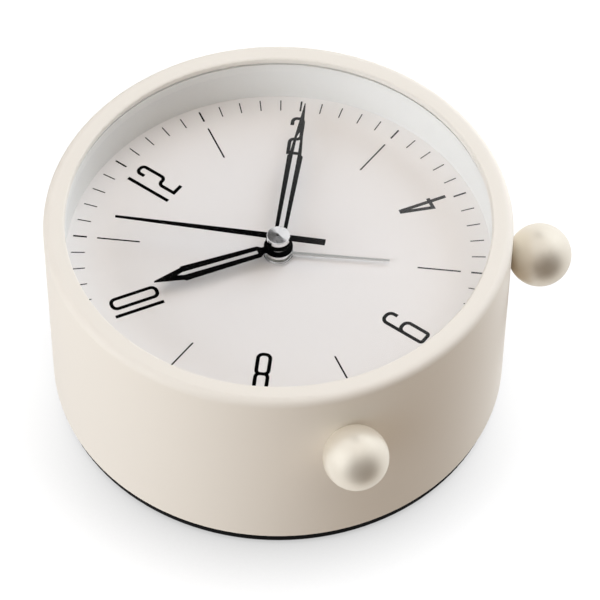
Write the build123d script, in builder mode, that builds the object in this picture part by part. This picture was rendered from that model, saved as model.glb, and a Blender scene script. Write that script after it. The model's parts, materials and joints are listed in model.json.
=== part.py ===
from build123d import *
import os
from math import atan2, cos, degrees, pi, radians, sin, tan

# A round alarm clock lying on its back. Sizes are millimetres. The hands turn about Z,
# the dial faces +Z, 12 o'clock is +Y and z = 0 is the flat back that the clock lies on.

os.makedirs("parts", exist_ok=True)

# Drum case
case_diameter = 102.0
case_wall = 1.8
flange_thickness = 1.4
flange_width = 4.7
rim_rounding = 1.8
edge_rounding = 0.4
seat_gap = 0.3
lens_thickness = 1.6
dial_depth = 13.88
dial_thickness = 1.0
ring_wall = 2.2
ring_draft = 0.15

# Ball feet
foot_diameter = 14.0
foot_flat = 0.6
foot_spread = 36.8
foot_setback = 13.2

# Back cover, its control well and the battery bay
cover_inset = 0.7
cover_edge_rounding = 0.5
well_depth = 7.0
well_wall = 1.6
well_corner = 7.0
bay_share = 0.4333
door_recess = 0.4
door_thickness = 1.6
door_ledge = 1.5
door_ledge_thickness = 0.6
door_gap = 0.2
door_corner = 2.0
door_tab_length = 8.0
door_tab_thickness = 1.0
door_tab_height = 2.4
grip_groove = 0.8
thumb_notch = 5.0
battery_diameter = 14.2
battery_length = 49.3
battery_nub_length = 1.2
battery_nub_diameter = 5.4
battery_play = 0.4
contact_thickness = 0.4
contact_width = 9.0
contact_spring_reach = 4.6
holder_wall = 1.2
holder_gap = 1.32
sound_hole = 1.8
sound_hole_ring = 4.0
buzzer_diameter = 16.0
buzzer_height = 5.2
buzzer_gap = 1.0
pillar_width = 20.0
pillar_wall = 1.6

# Knobs and alarm switch
knob_diameter = 13.0
knob_inset = 1.2
knob_float = 0.5
knob_flutes = 20
flute_diameter = 1.5
knob_dish_rim = 1.6
knob_dish_depth = 0.7
knob_cap = 1.4
switch_travel = 4.0
switch_length = 9.0
switch_width = 5.0
switch_height = 3.0
switch_stem_length = 4.0
switch_stem_width = 2.4
switch_float = 0.2
switch_keeper = 0.8

# Screws
cover_screw_diameter = 2.5
cover_screw_head = 4.8
cover_screw_depth = 12.0
cover_screw_web = 0.9
foot_screw_diameter = 2.5
foot_screw_head = 4.8
foot_screw_bite = 6.0
dial_screw_diameter = 2.0
dial_screw_head = 4.4
dial_screw_bite = 4.5
shell_screw_diameter = 1.6
shell_screw_head = 3.2
shell_screw_bite = 4.0
screw_head_height = 1.2
screw_slot = 0.7
screw_slot_depth = 0.5
screw_play = 0.05
hole_play = 0.2
boss_wall = 1.95
boss_height = 17.0
boss_sink = 0.4

# Movement shells, 54 mm square
movement_width = 54.0
movement_corner = 5.0
movement_plate = 1.2
shell_split = 8.4
ear_reach = 4.0
ear_width = 8.0
ear_thickness = 1.4
dial_post_diameter = 5.6
column_inset = 3.5
column_diameter = 4.4
floor_room = 1.4
front_room = 1.3

# Wheels and arbors
wheel_thickness = 1.0
wheel_gap = 0.7
arbor_share = 0.0185
setting_arbor_diameter = 2.4
run_gap = 0.07
end_play = 0.1
pivot_depth = 0.8
wheel_clearance = 0.3
seconds_wheel_share = 0.24444
rotor_module_share = 0.909
train_bend = 33.0
tooth_addendum = 0.9
tooth_dedendum = 1.25
tooth_play = 0.45
pressure_angle = 20.0
few_teeth = 16
rotor_teeth = 8
intermediate_teeth = 40
intermediate_pinion_teeth = 10
seconds_teeth = 60
seconds_pinion_teeth = 8
third_teeth = 60
third_pinion_teeth = 8
centre_teeth = 64
cannon_teeth = 12
minute_teeth = 36
minute_pinion_teeth = 10
hour_teeth = 40
alarm_teeth = 30
idler_teeth = 20
tube_wall = 0.5
alarm_tube_wall = 0.6
nose_wall = 0.5

# Step motor, circuit board and alarm contact
magnet_diameter = 4.0
magnet_height = 2.4
stator_thickness = 1.0
stator_gap = 0.5
stator_rim = 0.7
stator_column_gap = 4.3
stator_lift = 0.2
stator_leg = 4.0
coil_gap = 0.3
coil_wall_gap = 1.8
core_width = 3.0
core_play = 0.1
bobbin_leg_gap = 3.0
bobbin_wall = 0.6
bobbin_flange = 0.8
winding_height = 6.0
flange_margin = 0.4
post_diameter = 3.2
board_column_gap = 2.3
board_width = 9.0
board_thickness = 1.0
board_rise = 1.6
board_edge_gap = 1.4
chip_diameter = 5.2
chip_height = 1.2
crystal_diameter = 2.2
crystal_length = 6.5
board_part_gap = 4.5
strip_thickness = 0.3
strip_width = 2.5
strip_offset = 4.2
strip_lift = 0.4

# Hands, with heights measured from the dial and lengths from the axis
hand_thickness = 0.3
alarm_hand_height = 0.7
hour_hand_height = 2.75
minute_hand_height = 4.35
second_hand_height = 6.05
alarm_reading = 4.96
hour_reading = 10.09
minute_reading = 10.3
second_reading = 55.4
alarm_hand_length = 24.5
alarm_hand_root = 0.85
alarm_hand_tip = 0.5
hour_hand_length = 28.8
hour_shoulder = 22.0
hour_shoulder_width = 4.0
hour_body_start = 4.5
hour_body_width = 3.0
hour_slot_end = 23.75
minute_hand_gap = 5.65
minute_shoulder = 25.0
minute_shoulder_width = 3.46
minute_body_start = 3.7
minute_body_width = 2.7
minute_slot_end = 32.3
shoulder_step = 0.35
neck_width = 1.7
slot_width = 1.1
slot_nose = 1.2
slot_nose_width = 0.8
hand_point = 0.2
second_hand_length = 36.2
second_hand_tail = 10.35
second_hand_root = 1.5
second_hand_tip = 0.48
second_cap_diameter = 5.2
second_cap_height = 1.4
second_cap_skirt = 0.45
second_cap_cone = 0.3
second_cap_rounding = 0.2
second_hub_diameter = 2.4
second_hub_height = 1.0
minute_hub_diameter = 5.6
hour_hub_diameter = 6.4
alarm_hub_diameter = 6.6
bush_inset = 0.3
bush_height = 1.1
alarm_bush_height = 0.45
grip_gap = 0.02

# Radii in the drum
case_radius = case_diameter / 2
bore_radius = case_radius - case_wall
seat_radius = bore_radius - seat_gap
cover_radius = case_radius - cover_inset
opening_radius = case_radius - flange_width
foot_radius = foot_diameter / 2
foot_axis_radius = case_radius + foot_radius - foot_flat
minute_hand_length = seat_radius - ring_wall - ring_draft - minute_hand_gap

# Heights from the back to the front
door_inner = door_recess + door_thickness
cover_band = door_inner + door_ledge_thickness
cover_screw_seat = cover_band - cover_screw_web
cell_height = door_inner + battery_play + battery_diameter / 2
holder_roof = cell_height + battery_diameter / 2 + battery_play
movement_back = holder_roof + holder_wall + holder_gap
movement_floor = movement_back + movement_plate
level_pitch = wheel_thickness + wheel_gap
levels = [movement_floor + floor_room + level_pitch * k for k in range(7)]
movement_inner = levels[6] + wheel_thickness + front_room
movement_front = movement_inner + movement_plate
movement_split = movement_back + shell_split
dial_top = movement_front + dial_thickness
case_front = dial_top + dial_depth
lens_top = case_front - flange_thickness
lens_bottom = lens_top - lens_thickness
foot_height = case_front - foot_setback
well_floor = well_depth + well_wall
knob_top = well_depth - knob_float
alarm_hand_z = dial_top + alarm_hand_height
hour_hand_z = dial_top + hour_hand_height
minute_hand_z = dial_top + minute_hand_height
second_hand_z = dial_top + second_hand_height

# Radii round the axis of the hands
arbor_radius = movement_width * arbor_share / 2
setting_radius = setting_arbor_diameter / 2
cannon_bore = arbor_radius + run_gap
cannon_radius = cannon_bore + tube_wall
hour_bore = cannon_radius + run_gap
hour_radius = hour_bore + tube_wall
alarm_bore = hour_radius + run_gap
alarm_radius = alarm_bore + alarm_tube_wall
nose_bore = alarm_radius + run_gap
nose_radius = nose_bore + nose_wall

# Gear sizes follow from the movement's width and from the arbors that the wheels have to clear
seconds_module = movement_width * seconds_wheel_share / seconds_teeth
rotor_module = seconds_module * rotor_module_share
seconds_tip = (seconds_teeth / 2 + tooth_addendum) * seconds_module
intermediate_span = seconds_module * (seconds_teeth + intermediate_pinion_teeth) / 2
rotor_span = rotor_module * (rotor_teeth + intermediate_teeth) / 2
third_span = seconds_tip + arbor_radius + wheel_clearance
third_module = 2 * third_span / (seconds_pinion_teeth + third_teeth)
centre_module = 2 * third_span / (third_pinion_teeth + centre_teeth)
centre_tip = (centre_teeth / 2 + tooth_addendum) * centre_module
motion_span = centre_tip + arbor_radius + wheel_clearance
cannon_module = 2 * motion_span / (cannon_teeth + minute_teeth)
hour_module = 2 * motion_span / (minute_pinion_teeth + hour_teeth)
alarm_module = 2 * motion_span / (alarm_teeth + idler_teeth)

# Places of the arbors, seen from the front
axis_at = (0.0, 0.0)
third_at = (0.0, -third_span)
intermediate_at = (0.0, intermediate_span)
rotor_at = (0.0, intermediate_span + rotor_span)
bend_x = motion_span * cos(radians(train_bend))
bend_y = motion_span * sin(radians(train_bend))
minute_at = (bend_x, bend_y)
idler_at = (-bend_x, bend_y)
time_at = (2 * bend_x, 0.0)
alarm_at = (-2 * bend_x, 0.0)

# Layout of the back cover
knob_radius = knob_diameter / 2
bay_length = 2 * contact_thickness + contact_spring_reach + battery_length + battery_nub_length
bay_width = battery_diameter + 2 * battery_play
bay_y = -case_radius * bay_share
bay_start = -bay_length / 2
well_low = bay_y + bay_width / 2 + door_ledge + well_wall
finger_room = -well_low - knob_radius
well_half_width = time_at[0] + knob_radius + finger_room
switch_y = knob_radius + finger_room + switch_width / 2
well_high = switch_y + switch_width / 2 + finger_room
well_middle = (well_low + well_high) / 2
well_size = (2 * well_half_width, well_high - well_low)
holder_size = (bay_length + 2 * holder_wall, bay_width + 2 * holder_wall)
door_size = (bay_length + 2 * door_ledge, bay_width + 2 * door_ledge)
buzzer_at = (0.0, well_high + well_wall + buzzer_gap + buzzer_diameter / 2)
cover_screw_radius = cover_screw_diameter / 2
boss_radius = cover_screw_radius + boss_wall
boss_circle = bore_radius - boss_radius + boss_sink
boss_start = 30
pillar_start = 90

# Layout of the movement
movement_half = movement_width / 2
ear_circle = movement_half + ear_reach
ear_length = ear_reach + movement_plate / 2
ear_angles = (0, 90, 180)
column_grid = movement_width - 2 * column_inset
column_room = column_grid - column_diameter
stator_length = column_room - 2 * stator_column_gap
stator_half = magnet_diameter / 2 + stator_gap + stator_rim
stator_z = levels[1] + wheel_thickness + stator_lift
coil_low = rotor_at[1] + stator_half + coil_gap
coil_high = movement_half - movement_plate - coil_wall_gap
coil_y = (coil_low + coil_high) / 2
winding_width = coil_high - coil_low - 2 * flange_margin
bobbin_length = stator_length - 2 * (stator_leg + bobbin_leg_gap)
core_z = stator_z + stator_thickness
coil_middle = core_z + stator_thickness / 2
board_length = column_room - 2 * board_column_gap
board_y = -movement_half + movement_plate + board_edge_gap + board_width / 2
board_z = movement_floor + board_rise
board_post_x = board_length / 2 - post_diameter / 2
board_part_x = board_length / 2 - board_part_gap - crystal_length
stator_post_x = stator_length / 2 - stator_leg / 2


def polar(radius, angle):
    """A point at this distance and angle from the axis."""
    return (radius * cos(radians(angle)), radius * sin(radians(angle)))


def dial_angle(hours):
    """Angle from +X of an hour on the dial."""
    return 90 - 30 * hours


def outward_plane(radius, angle, height):
    """A plane that faces straight out from the axis."""
    return Plane((*polar(radius, angle), height), x_dir=(0, 0, 1), z_dir=(*polar(1, angle), 0))


def hand_plane(hours, height):
    """A plane whose X runs along a hand that points at this hour."""
    return Plane((0, 0, height), x_dir=(*polar(1, dial_angle(hours)), 0), z_dir=(0, 0, 1))


def round_bar(at, radius, start, end, mode=Mode.ADD):
    """A cylinder along Z between two heights."""
    with Locations((*at, start)):
        Cylinder(radius, end - start, align=(Align.CENTER, Align.CENTER, Align.MIN), mode=mode)


def gear_face(teeth, module, phase, at, height):
    """A toothed outline with straight flanks and one tooth centred on the phase angle."""
    pitch_radius = teeth * module / 2
    tip_radius = pitch_radius + tooth_addendum * module
    root_radius = pitch_radius - tooth_dedendum * module
    slope = tan(radians(pressure_angle))
    half_tooth = (pi / 2 - tooth_play) * module / 2
    half_tip = half_tooth - tooth_addendum * module * slope
    half_root = half_tooth + tooth_dedendum * module * slope
    if teeth < few_teeth:
        half_root = half_tooth * root_radius / pitch_radius
    root_angle = degrees(half_root / root_radius)
    tip_angle = degrees(half_tip / tip_radius)
    corners = []
    for tooth in range(teeth):
        middle = phase + 360 * tooth / teeth
        corners.append(polar(root_radius, middle - root_angle))
        corners.append(polar(tip_radius, middle - tip_angle))
        corners.append(polar(tip_radius, middle + tip_angle))
        corners.append(polar(root_radius, middle + root_angle))
    with BuildSketch(Plane((*at, height))) as face:
        with BuildLine():
            Polyline(*corners, close=True)
        make_face()
    return face.sketch


def mesh_phase(teeth, phase, at, next_teeth, next_at):
    """Phase that puts a gap of the next wheel over a tooth of this one."""
    bearing = degrees(atan2(next_at[1] - at[1], next_at[0] - at[0]))
    offset = (phase - bearing) * teeth / 360
    return bearing + 180 + (0.5 - offset) * 360 / next_teeth


def screw(plane, diameter, head, length):
    """A slotted screw whose shank starts on the plane and whose head stands behind it."""
    with BuildSketch(plane) as shank:
        Circle(diameter / 2)
    extrude(shank.sketch, amount=length)
    with BuildSketch(plane) as top:
        Circle(head / 2)
    extrude(top.sketch, amount=-screw_head_height)
    with BuildSketch(plane.offset(-screw_head_height)) as slot:
        Rectangle(head, screw_slot)
    extrude(slot.sketch, amount=screw_slot_depth, mode=Mode.SUBTRACT)


def save(piece, name):
    """Names a finished piece and writes it to its own file."""
    piece.part.label = name
    export_step(piece.part, f"parts/{name}.step")


ear_spots = [polar(ear_circle, angle) for angle in ear_angles]

# Case: a drum with a narrow front flange, screw bosses at the back and two foot holes
with BuildPart() as case:
    with BuildSketch(Plane.XZ):
        with BuildLine():
            Polyline(
                (bore_radius, cover_band),
                (case_radius, cover_band),
                (case_radius, case_front),
                (opening_radius, case_front),
                (opening_radius, lens_top),
                (bore_radius, lens_top),
                close=True,
            )
        make_face()
    revolve(axis=Axis.Z)
    front_edges = case.edges().group_by(Axis.Z)[-1].sort_by(SortBy.RADIUS)
    fillet(front_edges[-1], radius=rim_rounding)
    fillet(case.edges().group_by(Axis.Z)[-1].sort_by(SortBy.RADIUS)[0], radius=edge_rounding)
    fillet(case.edges().group_by(Axis.Z)[0].sort_by(SortBy.RADIUS)[-1], radius=edge_rounding)
    with BuildSketch(Plane.XY.offset(cover_band)):
        with PolarLocations(boss_circle, 3, start_angle=boss_start):
            Circle(boss_radius)
    extrude(amount=boss_height)
    with BuildSketch(Plane.XY.offset(cover_band)):
        with PolarLocations(boss_circle, 3, start_angle=boss_start):
            Circle(cover_screw_radius + screw_play)
    extrude(amount=boss_height - case_wall, mode=Mode.SUBTRACT)
    for side in (-1, 1):
        with BuildSketch(outward_plane(seat_radius, dial_angle(6) + side * foot_spread, foot_height)):
            Circle(foot_screw_diameter / 2 + hole_play)
        extrude(amount=case_wall + 2 * seat_gap, mode=Mode.SUBTRACT)
save(case, "case")

# Lens: a flat disc held up against the flange
with BuildPart() as lens:
    with BuildSketch(Plane.XY.offset(lens_bottom)):
        Circle(seat_radius)
    extrude(amount=lens_thickness)
    chamfer(lens.edges(), length=edge_rounding / 2)
save(lens, "lens")

# Dial ring: the white wall that stands on the dial, with room for the foot screw heads outside it
foot_pocket_radius = foot_screw_head / 2 + seat_gap
foot_head_radius = bore_radius - seat_gap / 2
foot_pocket_floor = foot_head_radius - screw_head_height - seat_gap
with BuildPart() as dial_ring:
    with BuildSketch(Plane.XZ):
        with BuildLine():
            Polyline(
                (seat_radius - ring_wall + ring_draft, dial_top),
                (seat_radius, dial_top),
                (seat_radius, lens_bottom),
                (seat_radius - ring_wall - ring_draft, lens_bottom),
                close=True,
            )
        make_face()
    revolve(axis=Axis.Z)
    for side in (-1, 1):
        with BuildSketch(outward_plane(foot_pocket_floor, dial_angle(6) + side * foot_spread, foot_height)):
            Circle(foot_pocket_radius)
        extrude(amount=case_wall + ring_wall, mode=Mode.SUBTRACT)
save(dial_ring, "dial_ring")

# Dial: a thin plate with a centre hole, three screw posts behind it and two edge notches
with BuildPart() as dial:
    with BuildSketch(Plane.XY.offset(movement_front)):
        Circle(seat_radius)
    extrude(amount=dial_thickness)
    ear_top = movement_split + ear_thickness
    with BuildSketch(Plane.XY.offset(ear_top)):
        with Locations(*ear_spots):
            Circle(dial_post_diameter / 2)
    extrude(amount=movement_front - ear_top)
    with BuildSketch(Plane.XY.offset(ear_top)):
        with Locations(*ear_spots):
            Circle(dial_screw_diameter / 2 + screw_play)
    extrude(amount=dial_screw_bite + end_play, mode=Mode.SUBTRACT)
    with BuildSketch(Plane.XY.offset(movement_front)):
        Circle(nose_radius + hole_play)
    extrude(amount=dial_thickness, mode=Mode.SUBTRACT)
    for side in (-1, 1):
        with BuildSketch(outward_plane(foot_pocket_floor, dial_angle(6) + side * foot_spread, foot_height)):
            Circle(foot_pocket_radius)
        extrude(amount=case_wall + ring_wall, mode=Mode.SUBTRACT)
save(dial, "dial")

# Ball feet, each with a flat seat on the drum, and their screws from inside
for side, name in ((-1, "left_foot"), (1, "right_foot")):
    seat = outward_plane(case_radius, dial_angle(6) + side * foot_spread, foot_height)
    with BuildPart() as foot:
        with Locations((*polar(foot_axis_radius, dial_angle(6) + side * foot_spread), foot_height)):
            Sphere(foot_radius)
        split(bisect_by=seat, keep=Keep.TOP)
        with BuildSketch(seat):
            Circle(foot_screw_diameter / 2 + screw_play)
        extrude(amount=foot_screw_bite + end_play, mode=Mode.SUBTRACT)
    save(foot, name)

with BuildPart() as foot_screws:
    for side in (-1, 1):
        head_seat = outward_plane(foot_head_radius, dial_angle(6) + side * foot_spread, foot_height)
        reach = case_radius - foot_head_radius + foot_screw_bite
        screw(head_seat, foot_screw_diameter, foot_screw_head, reach)
save(foot_screws, "foot_screws")

# Back cover: a flat disc with a control well, a battery opening, sound holes and pillars up to the dial
with BuildPart() as back_cover:
    with BuildSketch():
        Circle(cover_radius)
    extrude(amount=cover_band)
    fillet(back_cover.edges().group_by(Axis.Z)[0], radius=cover_edge_rounding)
    with BuildSketch(Plane.XY.offset(cover_band)):
        with Locations((0, well_middle)):
            RectangleRounded(
                well_size[0] + 2 * well_wall,
                well_size[1] + 2 * well_wall,
                well_corner + well_wall,
            )
    extrude(amount=well_floor - cover_band)
    with BuildSketch():
        with Locations((0, well_middle)):
            RectangleRounded(*well_size, well_corner)
    extrude(amount=well_depth, mode=Mode.SUBTRACT)
    with BuildSketch(Plane.XY.offset(well_depth)):
        with Locations(time_at, alarm_at):
            Circle(setting_radius + run_gap)
        with Locations((0, switch_y)):
            Rectangle(
                switch_stem_length + switch_travel + 2 * switch_float,
                switch_stem_width + 2 * switch_float,
            )
    extrude(amount=well_wall, mode=Mode.SUBTRACT)
    with BuildSketch():
        with Locations((0, bay_y)):
            RectangleRounded(door_size[0] + 2 * door_gap, door_size[1] + 2 * door_gap, door_corner + door_gap)
        with Locations((0, bay_y - door_size[1] / 2)):
            Circle(thumb_notch)
    extrude(amount=door_inner, mode=Mode.SUBTRACT)
    with BuildSketch(Plane.XY.offset(door_inner)):
        with Locations((0, bay_y)):
            Rectangle(bay_length, bay_width)
    extrude(amount=cover_band - door_inner, mode=Mode.SUBTRACT)
    with BuildSketch():
        with Locations(buzzer_at):
            Circle(sound_hole / 2)
            with PolarLocations(sound_hole_ring, 6):
                Circle(sound_hole / 2)
    extrude(amount=cover_band, mode=Mode.SUBTRACT)
    with BuildSketch(Plane.XY.offset(cover_band)):
        with PolarLocations(seat_radius - pillar_wall / 2, 3, start_angle=pillar_start):
            Rectangle(4 * pillar_wall, pillar_width)
        Circle(seat_radius, mode=Mode.INTERSECT)
        Circle(seat_radius - pillar_wall, mode=Mode.SUBTRACT)
    extrude(amount=movement_front - cover_band)
    with BuildSketch():
        with PolarLocations(boss_circle, 3, start_angle=boss_start):
            Circle(cover_screw_head / 2 + hole_play)
    extrude(amount=cover_screw_seat, mode=Mode.SUBTRACT)
    with BuildSketch():
        with PolarLocations(boss_circle, 3, start_angle=boss_start):
            Circle(cover_screw_radius + hole_play)
    extrude(amount=cover_band, mode=Mode.SUBTRACT)
save(back_cover, "back_cover")

with BuildPart() as cover_screws:
    for turn in range(3):
        spot = polar(boss_circle, boss_start + 120 * turn)
        screw(Plane((*spot, cover_screw_seat)), cover_screw_diameter, cover_screw_head, cover_screw_depth)
save(cover_screws, "cover_screws")

# Battery door: flush with the back, with snap tabs along its long sides and a ribbed grip
with BuildPart() as battery_door:
    with BuildSketch(Plane.XY.offset(door_recess)):
        with Locations((0, bay_y)):
            RectangleRounded(*door_size, door_corner)
    extrude(amount=door_thickness)
    tab_y = bay_width / 2 - door_gap - door_tab_thickness / 2
    with BuildSketch(Plane.XY.offset(door_inner)):
        with Locations((0, bay_y)):
            with GridLocations(bay_length / 2, 2 * tab_y, 2, 2):
                Rectangle(door_tab_length, door_tab_thickness)
    extrude(amount=door_tab_height)
    with BuildSketch(Plane.XY.offset(door_recess)):
        with Locations((0, bay_y - door_size[1] / 2 + thumb_notch)):
            with GridLocations(0, 2 * grip_groove, 1, 4):
                Rectangle(2 * thumb_notch, grip_groove)
    extrude(amount=grip_groove / 2, mode=Mode.SUBTRACT)
save(battery_door, "battery_door")

# Battery holder: a box behind the opening, open at the back
with BuildPart() as battery_holder:
    with BuildSketch(Plane.XY.offset(cover_band)):
        with Locations((0, bay_y)):
            Rectangle(*holder_size)
    extrude(amount=holder_roof + holder_wall - cover_band)
    with BuildSketch(Plane.XY.offset(cover_band)):
        with Locations((0, bay_y)):
            Rectangle(bay_length, bay_width)
    extrude(amount=holder_roof - cover_band, mode=Mode.SUBTRACT)
save(battery_holder, "battery_holder")

cell_start = bay_start + contact_thickness + contact_spring_reach
cell_end = cell_start + battery_length
with BuildPart() as battery_cell:
    with BuildSketch(Plane((cell_start, bay_y, cell_height), z_dir=(1, 0, 0))):
        Circle(battery_diameter / 2)
    extrude(amount=battery_length)
    fillet(battery_cell.edges().filter_by(GeomType.CIRCLE), radius=edge_rounding)
    with BuildSketch(Plane((cell_end, bay_y, cell_height), z_dir=(1, 0, 0))):
        Circle(battery_nub_diameter / 2)
    extrude(amount=battery_nub_length)
save(battery_cell, "battery_cell")

# Battery contacts: a folded leaf spring at one end and a flat plate at the other
with BuildPart() as contact_spring:
    with BuildSketch(Plane.XZ.offset(-bay_y)):
        with BuildLine():
            Polyline(
                (bay_start + contact_thickness / 2, cell_height - contact_width / 2),
                (bay_start + contact_thickness / 2, cell_height + contact_width / 2),
                (cell_start - contact_thickness / 2, cell_height),
                (cell_start - contact_thickness / 2, cell_height - contact_width / 4),
            )
        trace(line_width=contact_thickness)
    extrude(amount=contact_width / 2, both=True)
save(contact_spring, "contact_spring")

with BuildPart() as contact_plate:
    with BuildSketch(Plane((-bay_start - contact_thickness, bay_y, cell_height), z_dir=(1, 0, 0))):
        Rectangle(contact_width, contact_width)
    extrude(amount=contact_thickness)
save(contact_plate, "contact_plate")

# Buzzer: a round capsule over the sound holes
with BuildPart() as buzzer:
    with BuildSketch(Plane((*buzzer_at, cover_band))):
        Circle(buzzer_diameter / 2)
    extrude(amount=buzzer_height)
    with BuildSketch(Plane((*buzzer_at, cover_band))):
        Circle(sound_hole_ring + sound_hole)
    extrude(amount=buzzer_height / 2, mode=Mode.SUBTRACT)
    fillet(buzzer.edges().group_by(Axis.Z)[-1], radius=edge_rounding)
save(buzzer, "buzzer")

# Alarm switch: a ribbed slider in the well, with a stem through the slot and a keeper inside
with BuildPart() as alarm_switch:
    switch_at = (-switch_travel / 2, switch_y)
    button_top = well_depth - switch_float
    keeper_start = well_floor + switch_float
    with BuildSketch(Plane((*switch_at, button_top - switch_height))):
        RectangleRounded(switch_length, switch_width, switch_width / 5)
    extrude(amount=switch_height)
    with BuildSketch(Plane((*switch_at, button_top - switch_height))):
        with GridLocations(2 * grip_groove, 0, 4, 1):
            Rectangle(grip_groove, switch_width)
    extrude(amount=grip_groove / 2, mode=Mode.SUBTRACT)
    with BuildSketch(Plane((*switch_at, button_top))):
        Rectangle(switch_stem_length, switch_stem_width)
    extrude(amount=keeper_start - button_top)
    with BuildSketch(Plane((*switch_at, keeper_start))):
        Rectangle(switch_length, switch_width)
    extrude(amount=switch_keeper)
save(alarm_switch, "alarm_switch")

# Setting knobs: fluted, dished behind, with a blind hole for the arbor
for name, spot in (("time_knob", time_at), ("alarm_knob", alarm_at)):
    with BuildPart() as knob:
        with BuildSketch(Plane((*spot, knob_inset))):
            Circle(knob_radius)
            with PolarLocations(knob_radius, knob_flutes):
                Circle(flute_diameter / 2, mode=Mode.SUBTRACT)
        extrude(amount=knob_top - knob_inset)
        round_bar(spot, knob_radius - knob_dish_rim, knob_inset, knob_inset + knob_dish_depth, Mode.SUBTRACT)
        arbor_end = knob_inset + knob_dish_depth + knob_cap
        round_bar(spot, setting_radius + grip_gap, arbor_end, knob_top, Mode.SUBTRACT)
    save(knob, name)

# Movement shells: a front half with the nose and ears, and a back half with bearings and posts
pivot_spots = [third_at, intermediate_at, rotor_at, minute_at, idler_at]
pivot_hole = arbor_radius + run_gap
pivot_hole_depth = pivot_depth + end_play
with BuildPart() as movement_front_shell:
    with BuildSketch(Plane.XY.offset(movement_split)):
        RectangleRounded(movement_width, movement_width, movement_corner)
    extrude(amount=movement_front - movement_split)
    with BuildSketch(Plane.XY.offset(movement_split)):
        inner_width = movement_width - 2 * movement_plate
        RectangleRounded(inner_width, inner_width, movement_corner - movement_plate)
    extrude(amount=movement_inner - movement_split, mode=Mode.SUBTRACT)
    with BuildSketch(Plane.XY.offset(movement_split)):
        with GridLocations(column_grid, column_grid, 2, 2):
            Circle(column_diameter / 2)
    extrude(amount=movement_inner - movement_split)
    with BuildSketch(Plane.XY.offset(movement_split)):
        with Locations(*ear_spots):
            Circle(ear_width / 2)
        for angle in ear_angles:
            with Locations(polar(ear_circle - ear_length / 2, angle)):
                Rectangle(ear_length, ear_width, rotation=angle)
        with Locations(*ear_spots):
            Circle(dial_screw_diameter / 2 + hole_play, mode=Mode.SUBTRACT)
    extrude(amount=ear_thickness)
    round_bar(axis_at, nose_radius, movement_inner, dial_top - end_play)
    round_bar(axis_at, nose_bore, movement_inner, dial_top, Mode.SUBTRACT)
    for spot in pivot_spots + [time_at, alarm_at]:
        round_bar(spot, pivot_hole, movement_inner, movement_inner + pivot_hole_depth, Mode.SUBTRACT)
    with BuildSketch(Plane.XY.offset(movement_split)):
        with GridLocations(column_grid, column_grid, 2, 2):
            Circle(shell_screw_diameter / 2 + screw_play)
    extrude(amount=shell_screw_bite + end_play, mode=Mode.SUBTRACT)
save(movement_front_shell, "movement_front_shell")

with BuildPart() as movement_back_shell:
    with BuildSketch(Plane.XY.offset(movement_back)):
        RectangleRounded(movement_width, movement_width, movement_corner)
    extrude(amount=shell_split)
    with BuildSketch(Plane.XY.offset(movement_floor)):
        RectangleRounded(inner_width, inner_width, movement_corner - movement_plate)
    extrude(amount=movement_split - movement_floor, mode=Mode.SUBTRACT)
    with BuildSketch(Plane.XY.offset(movement_floor)):
        with GridLocations(column_grid, column_grid, 2, 2):
            Circle(column_diameter / 2)
    extrude(amount=movement_split - movement_floor)
    with BuildSketch(Plane.XY.offset(movement_floor)):
        with Locations((stator_post_x, rotor_at[1]), (-stator_post_x, rotor_at[1])):
            Circle(post_diameter / 2)
    extrude(amount=stator_z - movement_floor)
    with BuildSketch(Plane.XY.offset(movement_floor)):
        with Locations((board_post_x, board_y), (-board_post_x, board_y)):
            Circle(post_diameter / 2)
    extrude(amount=board_rise)
    for spot in pivot_spots + [axis_at]:
        round_bar(spot, pivot_hole, movement_floor - pivot_hole_depth, movement_floor, Mode.SUBTRACT)
    for spot in (time_at, alarm_at):
        round_bar(spot, setting_radius + run_gap, movement_back, movement_floor, Mode.SUBTRACT)
    with BuildSketch(Plane.XY.offset(movement_back)):
        with GridLocations(column_grid, column_grid, 2, 2):
            Circle(shell_screw_head / 2 + hole_play)
    extrude(amount=screw_head_height + end_play, mode=Mode.SUBTRACT)
    with BuildSketch(Plane.XY.offset(movement_back)):
        with GridLocations(column_grid, column_grid, 2, 2):
            Circle(shell_screw_diameter / 2 + hole_play)
    extrude(amount=shell_split, mode=Mode.SUBTRACT)
save(movement_back_shell, "movement_back_shell")

with BuildPart() as shell_screws:
    seat_z = movement_back + screw_head_height + end_play
    for x in (-column_grid / 2, column_grid / 2):
        for y in (-column_grid / 2, column_grid / 2):
            reach = movement_split - seat_z + shell_screw_bite
            screw(Plane((x, y, seat_z)), shell_screw_diameter, shell_screw_head, reach)
save(shell_screws, "shell_screws")

with BuildPart() as dial_screws:
    reach = ear_thickness + dial_screw_bite
    for spot in ear_spots:
        screw(Plane((*spot, movement_split)), dial_screw_diameter, dial_screw_head, reach)
save(dial_screws, "dial_screws")

# Step motor: stator plate on two posts, core on its legs, bobbin and winding round the core
with BuildPart() as stator:
    with BuildSketch(Plane.XY.offset(stator_z)):
        with Locations(rotor_at):
            Rectangle(stator_length, 2 * stator_half)
        leg_length = coil_y - rotor_at[1] + core_width / 2
        for x in (-stator_post_x, stator_post_x):
            with Locations((x, rotor_at[1] + leg_length / 2)):
                Rectangle(stator_leg, leg_length)
        with Locations(rotor_at):
            Circle(magnet_diameter / 2 + stator_gap, mode=Mode.SUBTRACT)
    extrude(amount=stator_thickness)
save(stator, "stator")

with BuildPart() as coil_core:
    with BuildSketch(Plane.XY.offset(core_z)):
        with Locations((0, coil_y)):
            Rectangle(stator_length, core_width)
    extrude(amount=stator_thickness)
save(coil_core, "coil_core")

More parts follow.
